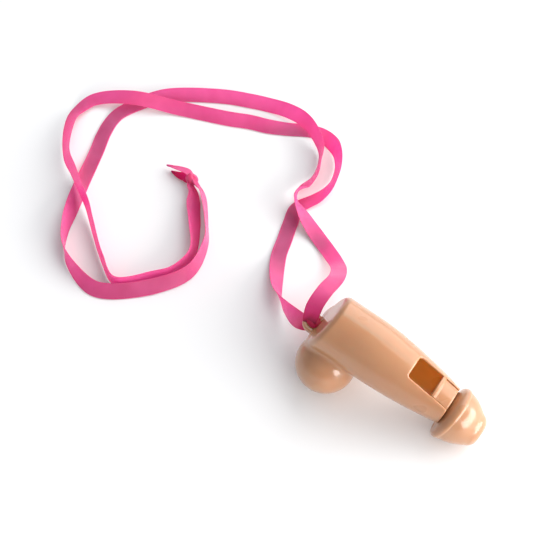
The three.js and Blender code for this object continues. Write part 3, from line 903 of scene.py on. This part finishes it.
def halves(points, quads):
    """Cuts a closed mesh along its middle plane, and closes each half with a flat joint face."""
    for name, side in (("body_left_shell", 1), ("body_right_shell", -1)):
        made = bmesh.new()
        for p in points:
            made.verts.new(p)
        made.verts.ensure_lookup_table()
        for q in quads:
            made.faces.new([made.verts[i] for i in q])
        cut = bmesh.ops.bisect_plane(
            made,
            geom=made.verts[:] + made.edges[:] + made.faces[:],
            plane_co=(0, 0, 0),
            plane_no=(0, -side, 0),
            clear_outer=True,
            dist=1e-5,
        )
        rim = [e for e in cut["geom_cut"] if isinstance(e, bmesh.types.BMEdge) and e.is_boundary]
        cap = bmesh.ops.triangle_fill(made, edges=rim, use_beauty=True, normal=(0, -side, 0))
        flat = [f for f in cap["geom"] if isinstance(f, bmesh.types.BMFace)]
        for face in made.faces:
            face.smooth = True
        for face in flat:
            face.smooth = False
            for edge in face.edges:
                edge.smooth = False
        bmesh.ops.recalc_face_normals(made, faces=made.faces[:])
        mesh = bpy.data.meshes.new(name)
        made.to_mesh(mesh)
        made.free()
        yield name, mesh


def mark_inner_glow(mesh, points):
    """Marks the surfaces inside the whistle, which get a bright orange colour, a painted glow of the light that comes
    through the walls.
    """
    depth = -outside(*points.T)
    before = np.clip(INSERT_START + INNER_PAST_WINDOW - points[:, 0], 0, 1)
    inner_glow = before * np.clip((depth - 0.45 * WALL) / (0.3 * WALL), 0, 1)
    set_points(mesh, "inner_glow", inner_glow)


FINE = 0.8 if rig.quick() else 0.4  # cell size


def make_body():
    points, quads = surface_nets(body, (-11, -23.8, -31.4), (64.4, 23.8, 15), FINE)
    pieces = []
    for name, mesh in halves(points, quads):
        co = np.zeros(len(mesh.vertices) * 3)
        mesh.vertices.foreach_get("co", co)
        mark_inner_glow(mesh, co.reshape(-1, 3))
        mesh.vertices.foreach_set("co", placed(co.reshape(-1, 3)).astype(np.float32).ravel())
        mesh.update()
        mesh.materials.append(PEACH)
        piece = add_object(name, mesh)
        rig.ride(piece, "root")
        pieces.append(piece)
    return pieces


def make_solid(name, field, low, high, step):
    points, quads = surface_nets(field, low, high, step)
    piece = object_of(name, placed(points), quads, PEACH)
    if name == "windway_plug":
        mark_inner_glow(piece.data, points)
    return piece


left, right = make_body()
plug = make_solid("windway_plug", insert, (53, -9.6, -13), (72.4, 9.6, 10), 0.6 * FINE + 0.06)
mouthpiece = make_solid("mouthpiece_cap", mouth, (61, -14.4, -24), (83, 14.4, 9), 0.7 * FINE + 0.02)


def make_bight():
    """The bunched ribbon that goes down through the lug's eye, and spills a little past both its ends."""
    rings, facets = 61, 80
    bottom, top = -LUG_DROP - LUG_THICKNESS - BIGHT_BELOW, -LUG_DROP + BIGHT_ABOVE
    points = []
    for share in np.linspace(0, 1, rings):
        z = bottom + (top - bottom) * share
        clear = max(z + LUG_DROP, -LUG_DROP - LUG_THICKNESS - z, 0)
        end = math.sqrt(max(0.02, 1 - max(0, (clear - 0.5) / 1.6) ** 2))
        reach = (LUG_EYE_RADIUS - BIGHT_GAP + BIGHT_SPILL * min(1, clear / 0.6)) * end
        for j in range(facets):
            turn = 2 * math.pi * j / facets
            pleat = 0.5 * math.sin(5 * turn + 1.3 * share) + 0.3 * math.sin(9 * turn - 2.1 * share)
            radius = reach * (0.93 + 0.07 * pleat)
            points.append((LUG_X + radius * math.cos(turn), radius * math.sin(turn), z))
    points += [(LUG_X, 0, bottom - 0.05), (LUG_X, 0, top + 0.05)]
    faces = [face[::-1] for face in around(rings, facets)]
    # The bunch in the eye takes the darker satin, as painted shade.
    piece = object_of("ribbon_in_eye", placed(points), faces, SHADED_PINK)
    local = np.array(points)[corner_vertices(piece.data)]
    set_uv(piece.data, local[:, 2] / 10, local[:, 1] / 5 + 0.5)
    return piece


bight = make_bight()

# ---------- What each piece stands for ----------
for piece, node, slot in (
    (left, "body_left", "peach_plastic"),
    (right, "body_right", "peach_plastic"),
    (plug, "windway_insert", "peach_plastic"),
    (mouthpiece, "mouthpiece", "peach_plastic"),
    (bight, "ribbon_bight", "pink_satin"),
    (strand_a, "ribbon_strand_a", "pink_satin"),
    (strand_b, "ribbon_strand_b", "pink_satin"),
    (knot, "ribbon_knot", "pink_satin"),
    (tail_a, "ribbon_tail_a", "pink_satin"),
    (tail_b, "ribbon_tail_b", "pink_satin"),
):
    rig.replaces(piece, node)
    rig.slot(piece, slot)

for strand, path, length, extra in (
    (strand_a, path_a, length_a, [knot, tail_a, bight]),
    (strand_b, path_b, length_b, [knot, tail_b, bight]),
):
    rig.cord(
        strand,
        exit=path[0],
        length=round(float(length), 3),
        diameter=0.0075,
        far_end="knot",
        stiffness="limp",
        lay="loose",
        path=path[::2],
        with_pieces=extra,
    )


# ---------- Floor and light ----------
FLOOR_REACH = 3.0
LIT_POINT = Vector((-0.04, 0.02, 0.01))


def make_floor():
    n = Nodes("floor_paper")
    place = n.add("ShaderNodeTexCoord").outputs["Object"]
    n.set(
        Base_Color=n.mix(
            n.noise(place, 30.0), (0.90, 0.90, 0.91, 1), (0.92, 0.92, 0.925, 1)
        ),
        Roughness=0.9,
        Specular_IOR_Level=0.2,
    )
    mesh = bpy.data.meshes.new("floor")
    corners = [(x * FLOOR_REACH, y * FLOOR_REACH, 0) for x, y in ((-1, -1), (1, -1), (1, 1), (-1, 1))]
    mesh.from_pydata(corners, [], [(0, 1, 2, 3)])
    mesh.materials.append(n.material)
    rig.stage(add_object("floor", mesh))


def make_light(name, direction, distance, size, power, color):
    data = bpy.data.lights.new(name, "AREA")
    data.shape = "RECTANGLE"
    data.size, data.size_y = size
    data.energy = power
    data.color = color
    lamp = add_object(name, data)
    aim = Vector(direction).normalized()
    lamp.location = LIT_POINT + distance * aim
    lamp.rotation_euler = aim.to_track_quat("Z", "Y").to_euler()


def make_world():
    world = bpy.data.worlds.new("studio")
    world.use_nodes = True
    sky = world.node_tree.nodes["Background"]
    sky.inputs["Color"].default_value = (0.93, 0.96, 1.0, 1)
    sky.inputs["Strength"].default_value = 0.54
    bpy.context.scene.world = world


make_floor()
make_world()
make_light("softbox", (0.25, 0.75, 0.6), 1.3, (2.0, 1.6), 21, (1.0, 0.99, 0.97))
make_light("window", (0.93, 0.06, 0.27), 0.8, (1.05, 0.4), 11, (1.0, 0.98, 0.95))
bpy.context.scene.view_settings.view_transform = "Standard"

with open("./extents.json", "w") as out:
    json.dump({"cad": [list(map(float, p)) for p in cad_box], "visual": [list(map(float, p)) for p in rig.bounds()]}, out)
